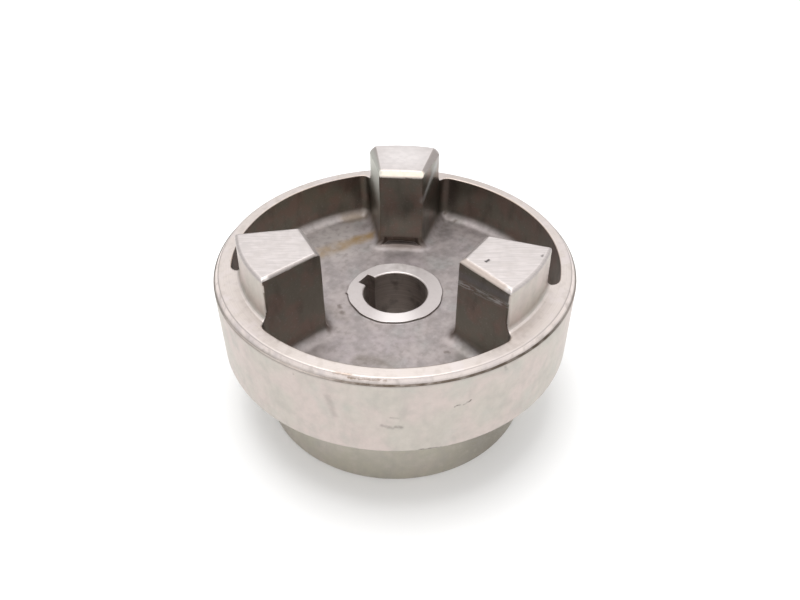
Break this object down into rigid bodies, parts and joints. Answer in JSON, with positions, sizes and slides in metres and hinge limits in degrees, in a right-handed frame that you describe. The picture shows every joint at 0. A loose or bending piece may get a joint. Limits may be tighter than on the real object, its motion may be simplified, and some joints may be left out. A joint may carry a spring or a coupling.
{
  "type": "jaw coupling hub",
  "caption": "Cup-shaped jaw coupling hub with integral driving jaws, a keyed shaft bore and a round boss with socket set screws that grip the shaft.",
  "frame": {"origin": "centre of the boss's end face, on the bore axis", "axes": "+Z along the bore from the boss end to the jaws, +Y through the keyway, +X through the side set screw"},
  "size_m": [0.102, 0.102, 0.0617],
  "materials": {
    "cast_metal": "bare casting, turned on the rim, bore ring and boss, lightly stained",
    "screw_steel": "black oxide, worn on the thread crests"
  },
  "bodies": {
    "hub": {"hub": "cast_metal"},
    "key_set_screw": {"key_set_screw": "screw_steel"},
    "side_set_screw": {"side_set_screw": "screw_steel"}
  },
  "joints": [
    {"name": "key_screw_travel", "type": "slide", "parent": "hub", "child": "key_set_screw", "axis": [0, 1, 0], "range_m": [-0.0013, 0.012]},
    {"name": "side_screw_travel", "type": "slide", "parent": "hub", "child": "side_set_screw", "axis": [1, 0, 0], "range_m": [-0.00097, 0.0142]}
  ]
}
